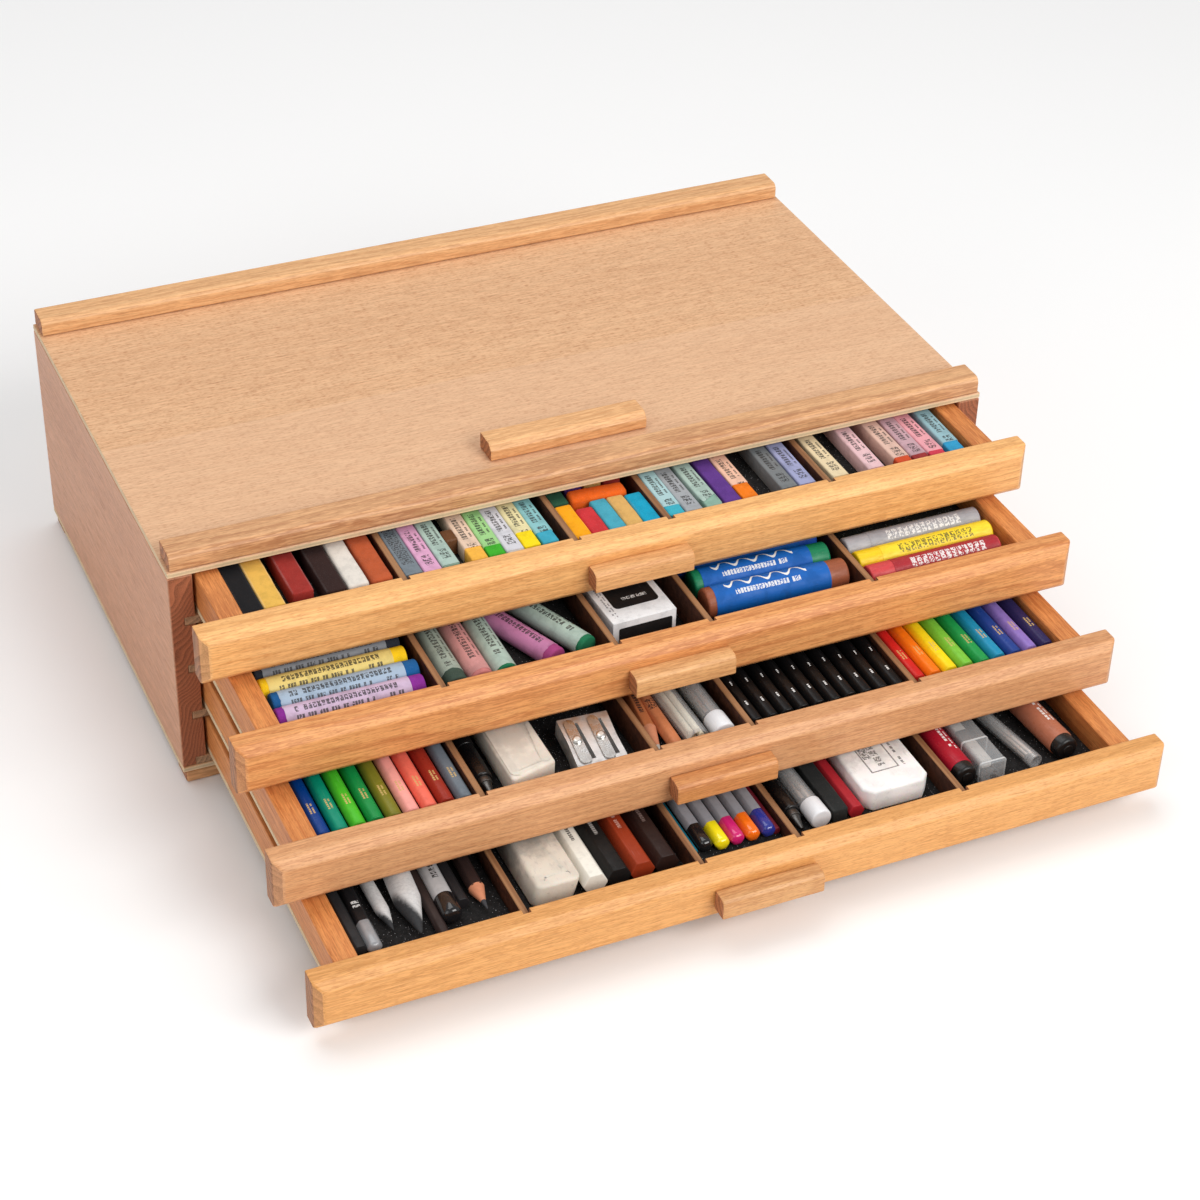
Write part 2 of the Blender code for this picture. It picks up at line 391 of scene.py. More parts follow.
def printed(p, at, x, y, z, rows, seed):
    """Ink on the upper side, as rows of worn dashes of uneven length: no letters.
    Each dash cell is filled by chance, and its last part stays blank.
    A row is (place across, width, dash length, share filled, start, stop), in mm."""
    ink = 0.0
    blots = p.noise(at, 1.15, 2.0, 0.6)
    for i, (place, width, dash, share, start, stop) in enumerate(rows):
        off = abs(x - place)
        step = y / dash
        cell = step.floor() + (seed + 31.0 * i)
        chance = p.node("TexWhiteNoise", 0, {"W": cell}, noise_dimensions="1D")
        mark = (off < width / 2) * (chance < share)
        mark = mark * (step.fract() < DASH_FILL)
        mark = mark * (blots > min(0.48, 0.34 + 0.035 * width))
        inside = (y > start) * (y < stop)
        ink = p.math("MAXIMUM", ink, mark * inside)
    return ink * (z > 0.0)


@once
def chalk(name, colour, half=0.0):
    """Pressed pigment: clouded, gritty and pitted. A square stick of a half width has pale rubbed edges."""
    p = Paint(name, Specular_IOR_Level=0.2)
    at, x, _, z = p.local(name)
    cloud = p.noise(at, 0.22, 4.0, 0.6)
    grit = p.noise(at, 2.4, 3.0, 0.7)
    pits = p.cells(at, 1.1)
    tone = p.fade(colour, shade(colour, 0.74), cloud, 0.40, 0.66, 0.5)
    tone = p.fade(tone, tint(colour, 0.12 + 0.22 * max(colour)), grit, 0.52, 0.78, 0.30)
    # Darker in the pits: painted shade in these small hollows.
    tone = p.fade(tone, shade(colour, 0.45), pits, 0.06, 0.20, 0.0, 0.4)
    if half:
        area = half * half
        corner = abs(x) * abs(z) + grit * (0.25 * area)
        rubbed = tint(colour, 0.06 + 0.32 * max(colour))
        tone = p.fade(tone, rubbed, corner, 0.92 * area, 1.08 * area, 0.45)
    height = grit + p.span(pits, 0.0, 0.22)
    return p.surface(tone, p.span(grit, 0.3, 0.8, 0.82, 0.97), height, 0.45, 0.0002)


@once
def paper(name, colour, rows=(), ink=INK, wave=None):
    """A paper wrapper with creases, handling marks, printed dashes and, if asked, one loose white wave.
    wave = (start, stop, swing, pitch) along the wrapper, in mm."""
    p = Paint(name, Specular_IOR_Level=0.35)
    at, x, y, z = p.local(name)
    fibre = p.noise(at, 3.2, 3.0, 0.7)
    crease_and_highlight = p.noise(at, (0.9, 0.16, 0.9), 4.0, 0.65)
    grime = p.noise(at, 0.16, 4.0, 0.6)
    tone = p.fade(shade(colour, 0.94), shade(colour, 0.66), fibre, 0.35, 0.75, 0.32)
    tone = p.fade(tone, shade(colour, 0.56), grime, 0.46, 0.68, 0.45)
    # Paler on the crease ridges: a painted highlight.
    tone = p.fade(tone, tint(colour, 0.08 + 0.4 * min(colour)), crease_and_highlight, 0.60, 0.76, 0.35)
    if rows:
        worn = p.span(fibre, 0.25, 0.60, 1.0, 0.80)
        tone = p.mix(printed(p, at, x, y, z, rows, len(name)) * worn, tone, ink)
    if wave:
        start, stop, swing, pitch = wave
        bend = p.math("SINE", y * (math.tau / pitch)) * swing
        wide = abs(x - (bend - 1.5))
        line = (wide < 0.75) * ((y > start) * (y < stop))
        tone = p.mix(line * (z > 0.0), tone, WHITE)
    return p.surface(tone, p.span(grime, 0.3, 0.75, 0.46, 0.72), crease_and_highlight + fibre * 0.3, 0.4)


@once
def wax(name, colour, rows=(), ink=INK):
    """Oil pastel: soft, a little smeared and rubbed."""
    p = Paint(name, Specular_IOR_Level=0.4)
    at, x, y, z = p.local(name)
    smear = p.noise(at, (0.9, 0.25, 0.9), 4.0, 0.6)
    grain = p.noise(at, 1.9, 3.0, 0.6)
    tone = p.fade(colour, shade(colour, 0.66), smear, 0.40, 0.68, 0.45)
    tone = p.fade(tone, tint(colour, 0.30), grain, 0.55, 0.78, 0.22)
    if rows:
        tone = p.mix(printed(p, at, x, y, z, rows, len(name)) * 0.85, tone, ink)
    return p.surface(tone, p.span(smear, 0.3, 0.8, 0.38, 0.62), grain, 0.30, 0.0002)


@once
def lacquer(name, colour, rows=(), ink=GOLD, gloss=0.26):
    """Painted wood of a pencil: uneven, scuffed along its length, with a clear coat if very glossy."""
    p = Paint(name, Coat_Weight=0.8 * (gloss < 0.12), Coat_Roughness=0.08, Specular_IOR_Level=0.22)
    at, x, y, z = p.local(name)
    wear = p.noise(at, 0.30, 4.0, 0.6)
    scuff = p.noise(at, (2.4, 0.10, 2.4), 3.0, 0.6)
    peel = p.noise(at, 1.2)
    tone = p.fade(colour, shade(colour, 0.68), wear, 0.45, 0.72, 0.35)
    tone = p.fade(tone, tint(colour, 0.08 + 0.28 * max(colour)), scuff, 0.60, 0.76, 0.26)
    if rows:
        tone = p.mix(printed(p, at, x, y, z, rows, len(name)) * 0.9, tone, ink)
    return p.surface(tone, p.span(wear, 0.3, 0.8, gloss, gloss + 0.24), peel, 0.12, 0.0002)


@once
def vinyl(name, colour, smudge, border):
    """Eraser: soft vinyl with graphite smudges and crumbs, and a plain printed frame if asked.
    border = (left, right, start, stop, line width) of the frame, in mm."""
    p = Paint(name, Specular_IOR_Level=0.35, Subsurface_Weight=0.12, Subsurface_Scale=0.002)
    at, x, y, z = p.local(name)
    cloud = p.noise(at, 0.09, 5.0, 0.62)
    fine = p.noise(at, 0.8, 4.0, 0.65)
    streak = p.noise(at, (0.45, 0.12, 0.45), 4.0, 0.65)
    tone = p.fade(colour, shade(colour, 0.80), cloud, 0.42, 0.62, 0.45)
    back = p.span(y + cloud * 40.0, 34.0, 52.0)
    tone = p.mix(back * smudge, tone, (0.17, 0.165, 0.16))
    tone = p.fade(tone, (0.16, 0.155, 0.15), streak, 0.56, 0.76, smudge * 0.6)
    tone = p.fade(tone, (0.10, 0.09, 0.085), fine, 0.62, 0.74, 0.35 * smudge)
    if border:
        left, right, start, stop, line = border
        middle = (left + right) / 2
        out_x = abs(x - middle) - (right - left) / 2
        out_y = abs(y - (start + stop) / 2) - (stop - start) / 2
        edge = abs(p.math("MAXIMUM", out_x, out_y)) < line / 2
        rows = (
            (middle, 3.4, 4.4, 0.9, start + 3, stop - 3),
            (right + 3, 1.2, 2.6, 0.75, start, stop),
            (left + 2.6, 3.8, 60.0, 1.1, start + 9, stop),
        )
        edge = p.math("MAXIMUM", edge, printed(p, at, x, y, z, rows, 5)) * (z > 0.0)
        tone = p.mix(edge * p.span(fine, 0.3, 0.6, 0.95, 0.6), tone, INK)
    return p.surface(tone, p.span(fine, 0.3, 0.8, 0.45, 0.72), fine + streak, 0.30)


@once
def plastic(name, colour, rough, clear=0.0):
    """Moulded plastic, scratched and dusty. clear is the share of light that passes one wall."""
    p = Paint(name, IOR=1.47, Alpha=1.0 - clear)
    at = p.local(name)[0]
    scratch = p.noise(at, (3.0, 0.14, 3.0), 3.0, 0.6)
    bloom = p.noise(at, 0.35, 4.0, 0.6)
    tone = p.fade(colour, shade(colour, 0.86), bloom, 0.40, 0.70, 0.4)
    marks = scratch * 0.5 + bloom * 0.5
    return p.surface(tone, p.span(marks, 0.35, 0.70, rough, rough + 0.22), scratch, 0.10, 0.0002)


@once
def metal(name, colour, rough, grain=(0.15, 6.0, 6.0)):
    """Bare metal with a fine machined grain and dull patches."""
    p = Paint(name, Metallic=1.0)
    at = p.local(name)[0]
    brush = p.noise(at, grain, 3.0, 0.6)
    patch = p.noise(at, 0.25, 4.0, 0.6)
    tone = p.fade(colour, shade(colour, 0.66), brush, 0.3, 0.75, 0.4)
    tone = p.fade(tone, shade(colour, 0.5), patch, 0.5, 0.75, 0.4)
    return p.surface(tone, p.span(patch, 0.3, 0.75, rough, rough + 0.25), brush, 0.18, 0.0002)


@once
def stump_paper(name, dirty):
    """Wound paper of a blending stump: a spiral of paper edges, blackened at its point over dirty mm."""
    p = Paint(name, Specular_IOR_Level=0.2)
    at, x, y, _ = p.local(name)
    rough = p.noise(at, 0.9, 4.0, 0.65)
    turns = ((y + x * 0.35) * 0.42).fract()
    tone = p.fade(rgb(212, 212, 212), rgb(160, 160, 162), rough, 0.35, 0.7, 0.35)
    tone = p.fade(tone, rgb(120, 120, 124), turns, 0.90, 0.98, 0.25)
    side = y + (x * 2.0 + rough * 5.0)
    tone = p.fade(tone, rgb(31, 33, 37), side, dirty * 0.70, dirty * 1.15, 0.0, 0.96)
    return p.surface(tone, p.span(rough, 0.3, 0.8, 0.7, 0.95), rough, 0.35)


def foam():
    """Black open-cell foam with bright specks on it: painted highlights, as glints on the cells."""
    p = Paint("liner_foam", Specular_IOR_Level=0.35)
    at = p.local("foam")[0]
    cell = p.cells(at, 0.95)
    lump = p.noise(at, 0.45, 4.0, 0.7)
    # Bright glossy specks: painted highlights of light glinting on the foam.
    painted_sparkle = p.span(p.cells(at, 1.1), 0.10, 0.24, 1.0, 0.0) * (p.chosen(at, 1.1) > 0.60)
    tone = p.fade((0.004, 0.004, 0.004), (0.018, 0.017, 0.018), lump, 0.3, 0.75)
    # Darker in the pores: painted shade.
    tone = p.fade(tone, (0.003, 0.003, 0.003), cell, 0.12, 0.40, 0.0, 0.6)
    tone = p.mix(painted_sparkle * 0.85, tone, (0.46, 0.46, 0.48))
    return p.surface(tone, p.span(painted_sparkle, 0.0, 1.0, 0.88, 0.35), cell * 0.8 + lump, 0.8, 0.0006)


# ---------------------------------------------------------------- shapes, in mm, with their length along Y
HEX_HALF = 0.433  # half the height of a lying hexagon, as a share of its width across corners


def rounded(corners, radius, steps=3):
    """A closed outline with each of its corners turned into an arc of that radius."""
    points = []
    for i, corner in enumerate(corners):
        here = Vector(corner)
        one = (Vector(corners[i - 1]) - here).normalized()
        two = (Vector(corners[(i + 1) % len(corners)]) - here).normalized()
        half = one.angle(two) / 2
        centre = here + (one + two).normalized() * radius / math.sin(half)
        start = here + one * radius / math.tan(half) - centre
        stop = here + two * radius / math.tan(half) - centre
        for s in range(steps + 1):
            points.append(tuple(centre + start.lerp(stop, s / steps).normalized() * radius))
    return points


def oblong(left, right, front, back):
    return [(left, front), (right, front), (right, back), (left, back)]


def block(width, height, radius):
    w, h = width / 2, height / 2
    return rounded(oblong(-w, w, -h, h), radius)


def circle(diameter, sides=28):
    turns = [math.tau * i / sides for i in range(sides)]
    return [(math.cos(t) * diameter / 2, math.sin(t) * diameter / 2) for t in turns]


def hexagon(across, radius):
    """A hexagon lying on a flat, by its width across corners."""
    return rounded(circle(across, 6), radius, 2)


def skin(bm, rings, slot=0, closed=False):
    """Join rings of points with faces, and cap both ends or join the last ring to the first."""
    rows = [[bm.verts.new(point) for point in ring] for ring in rings]
    faces = []
    for one, two in list(zip(rows, rows[1:])) + ([(rows[-1], rows[0])] if closed else []):
        for i in range(len(one)):
            faces.append(bm.faces.new((one[i - 1], one[i], two[i], two[i - 1])))
    if not closed:
        faces += [bm.faces.new(rows[0]), bm.faces.new(rows[-1])]
    for face in faces:
        face.material_index = slot
    return rows, faces


def loft(bm, outline, stations, slot=0, closed=False):
    """Skin an upright outline through stations of (y, scale)."""
    rings = [[(px * scale, y, pz * scale) for px, pz in outline] for y, scale in stations]
    return skin(bm, rings, slot, closed)[0]


def stack(bm, plan, levels):
    """Skin a lying plan through levels of (z, scale across, scale along)."""
    return skin(bm, [[(px * across, py * along, z) for px, py in plan] for z, across, along in levels])[1]


def soft_edge(radius, steps):
    """A rounded edge as pairs of a distance from the end and an inset, from the end inwards."""
    turns = [math.pi / 2 * i / steps for i in range(steps + 1)]
    return [(radius * (1 - math.cos(t)), radius * (1 - math.sin(t))) for t in turns]


def rod(bm, outline, start, stop, front, back, slot=0, step=0.0, scale=1.0):
    """A solid rod, its end edges rounded by front and back mm, with rings each step mm in between."""
    half = max(abs(px) for px, _ in outline)
    straight = stop - start - front - back
    count = int(straight / step) if step else 0
    stations = [(start + along, 1 - inset / half) for along, inset in soft_edge(front, 3)]
    stations += [(start + front + straight * i / count, 1.0) for i in range(1, count)]
    stations += [(stop - along, 1 - inset / half) for along, inset in reversed(soft_edge(back, 3))]
    return loft(bm, outline, [(y, s * scale) for y, s in stations], slot)


def tube(bm, outline, start, stop, gap, wall, slot, ragged=0.0, seed=0.0):
    """A sleeve of that wall about the outline, with a ragged front edge if asked."""
    half = max(abs(px) for px, _ in outline)
    outer, inner = 1 + (gap + wall) / half, 1 + gap / half
    rows = loft(bm, outline, [(start, outer), (stop, outer), (stop, inner), (start, inner)], slot, True)
    if ragged:
        for one, two in zip(rows[0], rows[3]):
            tear = noise.noise(Vector((one.co.x * 0.8, one.co.z * 0.8, seed))) * ragged
            one.co.y += tear
            two.co.y += tear


def roughen(bm, amount, scale, seed):
    """Push each point of a worn piece in or out a little."""
    bm.normal_update()
    for vert in bm.verts:
        vert.co += vert.normal * noise.noise(vert.co * scale + Vector((seed, seed, seed))) * amount


def to_object(name, bm):
    """A mesh object in the scene, from a shape in mm."""
    bmesh.ops.recalc_face_normals(bm, faces=bm.faces)
    bm.transform(Matrix.Scale(MM, 4))
    mesh = bpy.data.meshes.new(name)
    bm.to_mesh(mesh)
    bm.free()
    made = bpy.data.objects.new(name, mesh)
    bpy.context.scene.collection.objects.link(made)
    return made


class Tray:
    """One compartment. Pieces are laid in mm from its left wall, from the front board and from the foam."""

    DIP = 0.35  # how far a piece sinks into the foam, in mm

    def __init__(self, drawer, number, foam_height):
        name = f"drawer_{drawer}"
        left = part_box(f"{name}_divider_{number - 1}" if number > 1 else f"{name}_side_left")[1].x
        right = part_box(f"{name}_divider_{number}" if number < 5 else f"{name}_side_right")[0].x
        self.body = name
        self.label = f"{name}_tray_{number}"
        self.left, self.width = left, (right - left) / MM
        self.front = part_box(name + "_front")[1].y
        self.depth = (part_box(name + "_back")[0].y - self.front) / MM
        self.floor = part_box(name + "_bottom")[1].z
        self.foam = foam_height
        self.count = 0
        self.rng = random.Random(10 * drawer + number)
        self.line()

    def put(self, kind, bm, materials, x, y, half, turn=0.0, tilt=0.0, angle=38.0):
        """Lay a piece with its front end at x, y and its axis half mm above the foam.
        Edges sharper than angle stay crisp."""
        self.count += 1
        obj = to_object(f"{self.label}_{kind}_{self.count}", bm)
        obj.data.shade_smooth()
        obj.data.set_sharp_from_angle(angle=math.radians(angle))
        for material in materials:
            obj.data.materials.append(material)
        rise = self.foam + half - self.DIP
        spot = Vector((self.left + x * MM, self.front + y * MM, self.floor + rise * MM))
        turned = Matrix.Rotation(math.radians(turn), 4, "Z") @ Matrix.Rotation(math.radians(tilt), 4, "X")
        obj.matrix_world = Matrix.Translation(spot) @ turned
        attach(obj, self.body)
        return obj

    def fix(self, host, kind, bm, material, place):
        """Fix a small piece on another, at a place in that piece's own axes, in mm."""
        small = self.put(kind, bm, [material], 0, 0, 0)
        small.matrix_world = host.matrix_world @ Matrix.Translation(Vector(place) * MM)
        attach(small, self.body)

    def line(self):
        """The foam liner: one sheet with an uneven top and softened edges, a little clear of the walls."""
        clear, cell, lift = 0.4, 2.6, 0.12
        wide, deep = self.width - 2 * clear, self.depth - 2 * clear
        across = [-wide / 2 + wide * i / round(wide / cell) for i in range(round(wide / cell) + 1)]
        outline = [(-wide / 2, 0.0), (wide / 2, 0.0)] + [(x, self.foam) for x in reversed(across)]
        bm = bmesh.new()
        steps = round(deep / cell)
        loft(bm, outline, [(clear + deep * i / steps, 1.0) for i in range(steps + 1)])
        for vert in bm.verts:
            if vert.co.z > 0:
                edge = min(wide / 2 - abs(vert.co.x), vert.co.y - clear, clear + deep - vert.co.y)
                spot = Vector((vert.co.x, vert.co.y, self.foam)) * 0.23 + Vector((self.left * 900, 0, 0))
                vert.co.z += 0.55 * noise.noise(spot) - 0.9 * max(0.0, 1 - edge / 2.0) - 0.2
            else:
                vert.co.z = lift
        liner = self.put("foam", bm, [FOAM], self.width / 2, 0.0, self.DIP - self.foam, angle=60)


# ---------------------------------------------------------------- the drawing materials
FOAM = foam()
PENCIL = 175.0
STICK = 66.0


def bare_stick(tray, x, y, length, colour, name, width=9.6, turn=0.0, worn=0.8):
    """A square pastel without paper, its edges worn round."""
    bm = bmesh.new()
    rod(bm, block(width, width, worn), 0, length, worn, worn, step=4.0)
    roughen(bm, 0.22, 0.35, x + y)
    tray.put("chalk", bm, [chalk("chalk_" + name, colour, width / 2)], x, y, width / 2, turn)


LABEL = (
    (-0.8, 2.6, 1.9, 0.92, 16, 33), (2.2, 0.9, 1.2, 0.8, 17, 30),
    (0.2, 4.0, 2.6, 1.1, 4.5, 13), (0.4, 3.0, 6.0, 0.7, 38, 60),
)


def wrapped_stick(tray, x, y, colour, name, tip, core, ragged=0.5, rows=LABEL):
    """A square pastel in a paper sleeve, bare for tip mm at its front end."""
    width = 8.2
    bm = bmesh.new()
    shape = block(width - 0.5, width - 0.5, 0.7)
    rod(bm, shape, 0, STICK, 0.6, 0.6, step=6.0)
    tube(bm, shape, tip + 0.4, STICK - 1.5, 0.05, 0.22, 1, ragged, x)
    roughen(bm, 0.10, 0.3, x + y)
    mats = [chalk("chalk_" + name, core, width / 2), paper("wrap_" + name, colour, rows)]
    tray.put("pastel", bm, mats, x, y, width / 2, tray.rng.uniform(-0.8, 0.8))


def banded(tray, kind, mats, x, y, half, turn, shape, length, edge, step, ends, band, ragged=0.0, seed=0.0):
    """A round stick in a band, bare for so many mm at its front and back ends.
    band is the band's distance from the stick and its thickness."""
    bm = bmesh.new()
    rod(bm, shape, 0, length, edge, edge, step=step)
    tube(bm, shape, ends[0], length - ends[1], *band, 1, ragged, seed)
    tray.put(kind, bm, mats, x, y, half, turn)


def round_pastel(tray, x, y, colour, core, name, turn=0.0, length=STICK, bare=(3.5, 6.5), rows=()):
    """A round pastel in a paper band, bare for so many mm at its front and back ends."""
    mats = [chalk("core_" + name, core), paper("band_" + name, colour, rows)]
    size, wrap = circle(10.4), (0.03, 0.17)
    banded(tray, "round_pastel", mats, x, y, 5.4, turn, size, length, 1.0, 8.0, bare, wrap, 0.5, x + y)


def pencil(tray, x, y, colour, name, size=7.4, rows=(), ink=GOLD, turn=0.0):
    """A plain six-sided pencil with its dipped end at the front."""
    bm = bmesh.new()
    rod(bm, hexagon(size, 1.5), 0, PENCIL, 0.9, 0.5)
    tray.put("pencil", bm, [lacquer("lacquer_" + name, colour, rows, ink)], x, y, size * HEX_HALF, turn)


def pencil_row(tray, colours, size, rows, ink=GOLD, stagger=1.5):
    """Pencils side by side over the whole width of the tray."""
    for i, (name, colour) in enumerate(colours):
        x = (i + 0.5) * tray.width / len(colours)
        y = 4.0 + tray.rng.uniform(0, stagger)
        pencil(tray, x, y, rgb(*colour), "c_" + name, size, rows, ink)


def dipped_pencil(tray, x, y, body, cap, names, dip=16.0, size=7.2, rows=(), ink=WHITE, turn=0.0, sides=6):
    """A pencil whose front end is dipped in a second colour, with a domed end.
    names are those of the two colours."""
    bm = bmesh.new()
    shape = hexagon(size, 1.3) if sides == 6 else circle(size)
    rod(bm, shape, dip - 1.0, PENCIL, 0.0, 0.5, 0)
    rod(bm, shape, 0, dip, 2.4, 0.25, 1, scale=1.035)
    shaft = lacquer("lacquer_" + names[0], body, rows, ink, 0.30)
    half = size * (HEX_HALF if sides == 6 else 0.5)
    tray.put("dipped_pencil", bm, [shaft, lacquer("dip_" + names[1], cap, gloss=0.08)], x, y, half, turn)


def sharpened_pencil(tray, x, y, body, name, lead, lead_name, size=7.4, cone=17.0, turn=0.0, rows=()):
    """A pencil with its point to the front: lead, bare wood over the cone, then lacquer."""
    bm = bmesh.new()
    tip, bore = 5.0, 0.30
    loft(bm, circle(size), [(0.0, 0.05), (0.5, 0.10), (tip, bore)], 2)
    loft(bm, circle(size * 0.97), [(tip - 0.05, bore), (cone, 0.97)], 1)
    rod(bm, hexagon(size, 1.3), cone - 0.4, PENCIL, 0.0, 0.5, 0)
    wood_grain = lacquer("pencil_wood", rgb(206, 136, 102), gloss=0.55)
    mats = [lacquer("lacquer_" + name, body, rows, INK, 0.35), wood_grain, chalk("lead_" + lead_name, lead)]
    tray.put("sharp_pencil", bm, mats, x, y, size * HEX_HALF, turn, -0.8)


def clear_tube(tray, x, y, size, length, turn, cap=11.0, fill=None):
    """A clear tube with five leads inside, and a white cap at the front unless cap is 0."""
    bm = bmesh.new()
    tube(bm, circle(size - 1.6), cap - 2 if cap else 0.6, length, 0.0, 0.8, 0)
    for i in range(5):
        turned = math.tau * i / 5
        ends = [((cap or 2) + 1 + i, 1.0), (length - 3 - i, 1.0)]
        for row in loft(bm, circle(size * 0.25, 12), ends, 1):
            for vert in row:
                vert.co.x += math.cos(turned) * size * 0.23
                vert.co.z += math.sin(turned) * size * 0.23
    if cap:
        rod(bm, circle(size + 0.6, 36), 0, cap, 1.0, 0.4, 2)
    if fill:
        leads = lacquer("leads_pale", fill, gloss=0.5)
    else:
        leads = metal("leads_bright", (0.80, 0.79, 0.77), 0.22, (2.4, 0.05, 2.4))
    clear = plastic("tube_clear", rgb(236, 238, 240), 0.06, 0.80)
    white = plastic("cap_white", rgb(232, 234, 238), 0.2)
    tray.put("tube", bm, [clear, leads, white], x, y, (size + 0.6) / 2, turn)


def marker(tray, x, y, colour, name, size, turn=0.0):
    """A marker lying with its black end plug to the front."""
    bm = bmesh.new()
    rod(bm, circle(size, 36), 5.5, 120.0, 0.3, 1.2, 0)
    rod(bm, circle(size - 0.7, 36), 0, 6.0, 1.6, 0.0, 1)
    rod(bm, circle(size * 0.45, 24), -0.5, 0.6, 0.3, 0.0, 1)
    rows = ((0.3, 1.3, 2.0, 0.75, 14, 40), (2.4, 0.8, 1.3, 0.7, 14, 30))
    barrel = lacquer("barrel_" + name, colour, rows, WHITE, 0.25)
    tray.put("marker", bm, [barrel, plastic("black_plug", rgb(17, 16, 17), 0.25)], x, y, size / 2, turn)


def pen(tray, x, y, turn):
    """A black pen with a metal ferrule before its tapered nose."""
    size = 8.6
    bm = bmesh.new()
    shape = circle(size, 32)
    loft(bm, shape, [(0.0, 0.16), (0.6, 0.22), (7.5, 0.62)], 1)
    rod(bm, shape, 7.4, 11.0, 0.2, 0.2, 1, scale=0.74)
    rod(bm, shape, 10.9, 30.0, 0.8, 0.3, 0)
    rod(bm, shape, 29.9, 33.0, 0.3, 0.3, 0, scale=0.9)
    rod(bm, shape, 32.9, 132.0, 0.4, 1.4, 0)
    mats = [plastic("pen_black", rgb(19, 18, 19), 0.12), metal("ferrule", (0.13, 0.125, 0.12), 0.26)]
    tray.put("pen", bm, mats, x, y, size / 2, turn)


def eraser(tray, x, y, size, colour, name, smudge, slant=0.0, corner=3.0, border=None, lean=0.0, facets=5):
    """A worn block eraser of that width, length and height: rounded in plan, crowned on top,
    its front cut at a slant and its sides leaning."""
    width, length, height = size
    bm = bmesh.new()
    outline = [(-width / 2, 0), (width / 2, slant), (width / 2, length), (-width / 2, length)]
    plan = rounded(outline, corner, facets)
    middle = length / 2
    edge = soft_edge(1.6, 4)
    levels = edge + [(height - z, inset) for z, inset in reversed(edge)]
    rings = []
    for z, inset in levels:
        sx, sy = 1 - inset / (width / 2), 1 - inset / middle
        push = lean * (z / height - 0.5)
        rings.append([(px * sx + push, middle + (py - middle) * sy, z) for px, py in plan])
    bottom, top = skin(bm, rings)[1][-2:]
    for _ in range(3):
        bmesh.ops.inset_individual(bm, faces=[top], thickness=width * 0.10, depth=0.10)
    bmesh.ops.translate(bm, verts=bm.verts, vec=(0, 0, -height / 2))
    bmesh.ops.triangulate(bm, faces=[bottom, top])
    roughen(bm, 0.30, 0.16, x + y)
    tray.put("eraser", bm, [vinyl("vinyl_" + name, colour, smudge, border)], x, y, height / 2, angle=50)


def carve(obj, cutters):
    """Cut the cutters' shapes out of a piece and drop them."""
    for cutter in cutters:
        cut = obj.modifiers.new("cut", "BOOLEAN")
        cut.object = cutter
        cut.solver = "EXACT"
    bpy.context.view_layer.update()
    cut_mesh = bpy.data.meshes.new_from_object(obj.evaluated_get(bpy.context.evaluated_depsgraph_get()))
    obj.modifiers.clear()
    obj.data = cut_mesh
    obj.data.shade_smooth()
    obj.data.set_sharp_from_angle(angle=math.radians(30))
    for cutter in cutters:
        bpy.data.objects.remove(cutter)


def cutter_from(bm, like):
    """A scratch object in the same place as the piece that it will cut."""
    made = to_object("cutter", bm)
    made.matrix_world = like.matrix_world.copy()
    return made


def sharpener(tray, x, y, turn, tilt):
    """A two-hole metal sharpener: a pinched wedge with two bladed openings, each blade held by a screw."""
    wide, deep, high = 23.0, 28.0, 9.5
    bm = bmesh.new()
    waist = [(0, 1), (1, 1), (7, 0.98), (14, 0.96), (21, 0.98), (27, 1), (deep, 1)]
    for row in loft(bm, block(wide, high, 0.6), waist):
        for vert in row:
            if vert.co.z > high * 0.4:
                vert.co.z = high / 2
    alloy = metal("sharpener_alloy", (0.74, 0.735, 0.73), 0.40)
    # A near-black plastic meant as painted shade inside the openings.
    hollow = plastic("hollow_dark", rgb(18, 17, 17), 0.6)
    body = tray.put("sharpener", bm, [alloy, hollow], x, y, high / 2, turn, tilt)
    holes = ((-5.6, 8.0), (5.2, 9.0))
    cutters = []
    for place, size in holes:
        bore = bmesh.new()
        for row in loft(bore, circle(size, 32), [(-1.0, 0.98), (23.0, 0.30)]):
            for vert in row:
                vert.co.x += place
        cutters.append(cutter_from(bore, body))
        opening = bmesh.new()
        plan = [(place + 0.6, 3.0), (place + 3.6, 3.0), (place + 2.4, 24.5), (place + 0.6, 24.5)]
        stack(opening, plan, [(0.0, 1, 1), (high, 1, 1)])
        cutters.append(cutter_from(opening, body))
    carve(body, cutters)
    steel = metal("blade_steel", (0.50, 0.49, 0.475), 0.20, (6.0, 0.12, 6.0))
    bright = metal("screw_steel", (0.72, 0.70, 0.66), 0.18)
    for place, _ in holes:
        blade = bmesh.new()
        plan = rounded([(-3.0, 0.6), (2.6, 0.6), (1.9, 26.4), (-3.0, 26.4)], 2.4, 5)
        stack(blade, plan, [(0.0, 1, 1), (0.7, 1, 1), (0.95, 0.94, 1)])
        tray.fix(body, "blade", blade, steel, (place - 1.1, 0, high / 2 - 0.05))
        screw = bmesh.new()
        crown = [(0.0, 2.2), (0.7, 2.2), (1.15, 1.75), (1.3, 1.1)]
        top = stack(screw, circle(2.0, 20), [(z, radius, radius) for z, radius in crown])[-1]
        bmesh.ops.inset_individual(screw, faces=[top], thickness=0.35, depth=-0.45)
        tray.fix(body, "screw", screw, bright, (place - 1.3, 14.0, high / 2 + 0.85))


def plate(plan):
    """A thin flat plate of that plan, for a printed label."""
    bm = bmesh.new()
    stack(bm, plan, [(0.0, 1, 1), (0.15, 1, 1)])
    return bm


